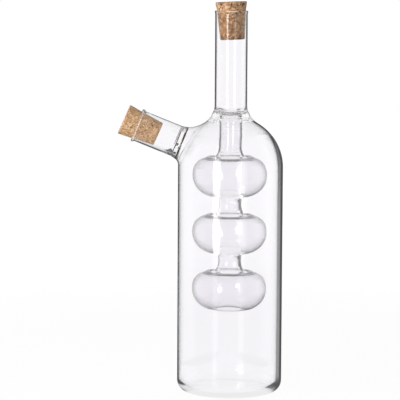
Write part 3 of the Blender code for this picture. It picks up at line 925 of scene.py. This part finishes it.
def makeCorkGrain():
    # pressed and natural cork: pale cells, brown-orange flecks, dark pores and a few woody streaks
    group, take, give = newGroup(
        "corkGrain",
        [("Place", "Vector", None), ("Seed", "Float", 0.0), ("Pale", "Color", (0.66, 0.44, 0.26, 1.0)),
         ("Body", "Color", (0.45, 0.26, 0.13, 1.0)), ("Fleck", "Color", (0.27, 0.115, 0.045, 1.0)),
         ("Pore", "Color", (0.085, 0.045, 0.025, 1.0)), ("Cell Size", "Float", 0.0011),
         ("Fleck Share", "Float", 0.5), ("Pore Share", "Float", 0.4),
         ("Border Share", "Float", 0.4)],
        [("Color", "Color"), ("Height", "Float"), ("Roughness", "Float")])
    seedMove = addNode("CombineXYZ", {"X": take["Seed"], "Y": maths(take["Seed"], "*", 0.7),
                                      "Z": maths(take["Seed"], "*", -0.4)})
    place = vectors(take["Place"], "+", seedMove)
    cellScale = maths(1.0, "/", take["Cell Size"])
    bent = clouds(place, 500.0, 2.0).outputs["Color"]
    warped = vectors(place, "+", vectors(bent, "*", (0.0009, 0.0009, 0.0009)))
    cells = addNode("TexVoronoi", {"Vector": warped, "Scale": cellScale})
    cellTone = addNode("SeparateColor", {0: cells.outputs["Color"]}).outputs
    broad = clouds(place, 260.0, 3.0, 0.6)
    fine = clouds(place, 1500.0, 3.0, 0.7)
    tone = maths(maths(cellTone[0], "*", 0.55), "+", maths(broad, "*", 0.6))
    colour = blendColours(remap(tone, 0.35, 0.85), take["Body"], take["Pale"])
    fleckMask = maths(remap(cellTone[1], 0.62, 0.86), "*", take["Fleck Share"])
    colour = blendColours(fleckMask, colour, take["Fleck"])
    colour = blendColours(remap(fine, 0.56, 0.70, 0.0, 0.55), colour, take["Fleck"])
    # thin dark outlines around some of the pressed grains
    borders = addNode("TexVoronoi", {"Vector": warped, "Scale": cellScale}, feature="DISTANCE_TO_EDGE")
    outlined = maths(remap(borders, 0.02, 0.16, 1.0, 0.0), "*", remap(broad, 0.40, 0.56))
    outlined = maths(outlined, "*", take["Border Share"])
    colour = blendColours(outlined, colour, take["Pore"])
    stretched = vectors(warped, "*", (1.0, 1.0, 0.55))
    pores = addNode("TexVoronoi", {"Vector": stretched, "Scale": 420.0})
    poreTone = addNode("SeparateColor", {0: pores.outputs["Color"]})
    poreMask = maths(remap(pores, 0.16, 0.34, 1.0, 0.0), "*", remap(poreTone, 0.55, 0.75))
    poreMask = maths(poreMask, "*", take["Pore Share"])
    height = maths(maths(fine, "*", 0.5), "+", maths(cellTone[2], "*", 0.3))
    feed(give["Color"], blendColours(poreMask, colour, take["Pore"]))
    feed(give["Height"], maths(height, "-", poreMask))
    feed(give["Roughness"], remap(fine, 0.3, 0.7, 0.72, 0.95))
    return group


corkGrain = makeCorkGrain()
corkLook = {
    "pressed": (-0.0012, 0.0004),    # heights over which the part pressed into the glass turns browner
    "bottom": (-0.0192, -0.0150), "bottomShare": 0.35,    # and it is stained less above these
    "stain": (0.36, 0.25, 0.16, 1.0), "shine": 0.25, "bump": 0.7, "relief": 0.0004,
}


def makeCorkMaterial(name, values, wet, stain):
    material, out = newMaterial(name)
    place = addNode("TexCoord").outputs["Object"]
    grain = addNode("Group", {"Place": place, **values}, node_tree=corkGrain).outputs
    depth = addNode("SeparateXYZ", {0: place}).outputs["Z"]
    pressed = remap(depth, *corkLook["pressed"], 1.0, 0.0)
    colour = blendColours(pressed, grain["Color"], wet, "MULTIPLY")
    stains = clouds(place, 330.0, 3.0, 0.6)
    bottom = remap(depth, *corkLook["bottom"], stain, corkLook["bottomShare"] * stain)
    stained = maths(remap(stains, 0.46, 0.62), "*", maths(bottom, "*", pressed))
    colour = blendColours(stained, colour, corkLook["stain"], "MULTIPLY")
    relief = addNode("Bump", {"Strength": corkLook["bump"], "Distance": corkLook["relief"], "Height": grain["Height"]})
    shader = addNode("BsdfPrincipled", {"Base Color": colour, "Roughness": grain["Roughness"], "Metallic": 0.0,
                                        "Specular IOR Level": corkLook["shine"], "Normal": relief})
    feed(out, shader)
    return material


corkSkins = (    # (piece, grain, colour of the pressed part, how stained)
    ("neckCork", {"Seed": 0.013, "Fleck Share": 0.7, "Pore Share": 0.95, "Border Share": 0.75,
                  "Pale": (0.84, 0.55, 0.325, 1.0), "Body": (0.53, 0.295, 0.15, 1.0),
                  "Fleck": (0.17, 0.075, 0.035, 1.0)}, (0.87, 0.77, 0.60, 1.0), 1.0),
    ("spoutCork", {"Seed": 0.047, "Fleck Share": 0.5, "Pore Share": 0.7, "Border Share": 0.3,
                   "Pale": (0.83, 0.555, 0.33, 1.0), "Body": (0.58, 0.345, 0.18, 1.0),
                   "Fleck": (0.30, 0.135, 0.055, 1.0)}, (1.0, 0.98, 0.92, 1.0), 0.1),
)
for name, grain, wet, stain in corkSkins:
    corks[name].data.materials.append(makeCorkMaterial(name + "Skin", grain, wet, stain))
print("materials made")


studio = {
    "floorRadius": 2.2, "floorDrop": 0.00015, "floorShare": 0.10, "floorWhite": 1.03,
    "paper": ((0.84, 0.84, 0.84, 1.0), (0.88, 0.88, 0.88, 1.0)),
    "floorNear": (0.05, 0.09),    # mirrored rays find the floor only this close to the axis
    "floorMiddle": (0.0273, 0.0311),    # and find it pale only this close to the middle plane
    "floorMirrored": (0.88, 0.10),    # pale there, dark aside
    "ambient": 0.40,    # what matt surfaces get from all round
    "beyond": 0.18,    # past the backdrop's upper edge, seen through the glass
    "front": 0.62,    # the room in front of the bottle, mirrored in the glass
    "sides": 0.88,    # and the walls at both sides
    "grazing": 0.07,    # what the outside of the glass mirrors at its edges
    "overhead": 0.92,    # and from above
    "inWall": (0.03, 0.05, 0.24),    # light turned back inside the wall: along the view, to the sides, low on the right
    "inWallUp": (0.80, 0.22),    # and up or down, in the jar and in the bulbs
    "inside": (0.94, 0.25),    # what the bulbs mirror inside the jar, and that low on the right
    "deep": (0.40, 0.15),    # after many turns: along the view, to the sides
    "boxes": (    # (name, degrees to the left of the camera, width, height, middle's height, strength in W, mirrored)
        ("softBoxLeft", 28.6, 0.295, 0.62, 0.25, 3.0, True),
        ("softBoxRight", -31.0, 0.20, 0.62, 0.25, 0.42, True),
        ("stripLeft", 31.7, 0.18, 2.2, 0.30, 0.8, True),
        ("stripRight", -26.8, 0.15, 2.2, 0.30, 0.6, True),
        ("fillLight", 52.0, 0.80, 0.8, 0.75, 10.5, False),
    ),
    "boxDistance": 1.2, "boxAim": 0.15,
}


def seenLevel(light):
    # 1 for rays that see the backdrop straight, mirrored or through glass
    straight = maths(light["Is Camera Ray"], "+", light["Is Glossy Ray"])
    seen = maths(straight, "+", light["Is Transmission Ray"], clamp=True)
    return maths(seen, "*", maths(light["Diffuse Depth"], "<", 0.5))


def makeWorld():
    world = bpy.data.worlds.new("studioWorld")
    startTree(world)
    light = addNode("LightPath").outputs
    way = addNode("TexCoord").outputs["Generated"]
    x, y, z = addNode("SeparateXYZ", {0: way}).outputs
    seen = seenLevel(light)
    turned = maths(light["Glossy Depth"], ">", 0.5)
    through = maths(light["Transmission Depth"], ">", 0.5)
    across = maths(x, "abs")
    edge = maths(remap(z, 0.12, 0.42), "*", through)
    onlyThrough = blend(edge, 1.0, studio["beyond"])
    # turned back inside the wall: dark close to the view, paler away from it
    along, side, lowRight = studio["inWall"]
    low = maths(maths(x, ">"), "*", remap(z, -0.12, -0.07, 1.0, 0.0))
    toSide = blend(low, side, lowRight)
    inWall = blend(remap(across, 0.30, 0.40), along, toSide)
    toRight = maths(maths(x, "max"), "*", 2.1)
    above = maths(z, "-", maths(toRight, "+", maths(across, "*", 0.3)))
    upOrDown = maths(remap(above, -0.01, 0.05), "max", remap(z, -0.62, -0.48, 1.0, 0.0))
    deepInside = maths(light["Transmission Depth"], ">", 5.5)
    inWall = blend(upOrDown, inWall, blend(deepInside, *studio["inWallUp"]))
    inWall = blend(remap(across, 0.64, 0.84), inWall, studio["sides"])
    mirrored = blend(remap(across, 0.50, 0.72), studio["grazing"], studio["sides"])
    mirrored = blend(remap(z, 0.35, 0.60), mirrored, studio["overhead"])
    level = blend(through, mirrored, inWall)
    # mirrored by a bulb: four faces of the jar are passed on the way
    passed = light["Transmission Depth"]
    byBulb = maths(maths(passed, ">", 3.5), "*", maths(passed, "<", 4.5))
    lowBulb = maths(remap(x, 0.02, 0.20), "*", remap(z, -0.32, -0.16, 1.0, 0.0))
    level = blend(byBulb, level, blend(lowBulb, *studio["inside"]))
    level = blend(remap(y, -0.3, 0.1, 1.0, 0.0), level, studio["front"])
    deep = maths(light["Glossy Depth"], ">", glassLook["turns"])
    level = blend(deep, level, blend(remap(across, 0.2, 0.5), *studio["deep"]))
    level = blend(seen, studio["ambient"], blend(turned, onlyThrough, level))
    back = addNode("Background", {"Color": white, "Strength": level})
    addNode("OutputWorld", {"Surface": back})
    scene.world = world


def makeFloor():
    bm = bmesh.new()
    bmesh.ops.create_circle(bm, cap_ends=True, segments=96, radius=studio["floorRadius"])
    mesh = bpy.data.meshes.new("paleFloor")
    bm.to_mesh(mesh)
    bm.free()
    floor = addPiece("paleFloor", mesh)
    floor.location.z = -studio["floorDrop"]
    material, out = newMaterial("paleFloorPaper")
    light = addNode("LightPath").outputs
    place = addNode("TexCoord").outputs["Object"]
    distance = addNode("VectorMath", {0: place}, operation="LENGTH").outputs["Value"]
    fleck = clouds(place, 900.0, 2.0)
    lit = addNode("BsdfDiffuse", {"Color": blendColours(fleck, *studio["paper"])})
    turned = maths(light["Glossy Depth"], ">", 0.5)
    side = maths(addNode("SeparateXYZ", {0: place}), "abs")
    aside = maths(turned, "*", remap(side, *studio["floorMiddle"]))
    mirroredPale, mirroredAside = studio["floorMirrored"]
    level = blend(aside, blend(turned, studio["floorWhite"], mirroredPale), mirroredAside)
    glow = addNode("Emission", {"Color": white, "Strength": level})
    # seen straight it is white, with the object's shadow near it; its rim is gone
    near = remap(distance, 0.25, 0.8, 1.0, 0.0)
    share = maths(maths(near, "*", studio["floorShare"]), "*", maths(1.0, "-", turned))
    paper = mixShaders(seenLevel(light), lit, mixShaders(share, glow, lit))
    rim = remap(distance, studio["floorRadius"] * 0.7, studio["floorRadius"] * 0.98)
    gone = maths(maths(turned, "*", remap(distance, *studio["floorNear"])), "max", rim)
    feed(out, mixShaders(gone, paper, addNode("BsdfTransparent")))
    floor.data.materials.append(material)


def makeBoxes():
    for name, degrees, width, height, middle, power, mirrored in studio["boxes"]:
        lamp = bpy.data.lights.new(name, "AREA")
        lamp.shape = "RECTANGLE"
        lamp.size = width
        lamp.size_y = height
        lamp.energy = power
        box = addPiece(name, lamp)
        angle = math.radians(degrees)
        box.location = (-math.sin(angle) * studio["boxDistance"], -math.cos(angle) * studio["boxDistance"], middle)
        tilt = 0.0 if mirrored else math.atan2(middle - studio["boxAim"], studio["boxDistance"])
        box.rotation_euler = (math.pi / 2 - tilt, 0.0, -angle)
        box.visible_camera = False
        box.visible_glossy = mirrored
        box.visible_transmission = mirrored


makeWorld()
makeFloor()
makeBoxes()

view = {"place": (-0.02017, -1.4915, 0.2903), "down": 6.18, "roll": 0.3, "lens": 202.46}
camera = addPiece("camera", bpy.data.cameras.new("camera"))
camera.data.lens = view["lens"]
camera.matrix_world = (Matrix.Translation(view["place"]) @ Matrix.Rotation(math.radians(90.0 - view["down"]), 4, "X")
                       @ Matrix.Rotation(math.radians(view["roll"]), 4, "Z"))
scene.camera = camera
print("studio ready")
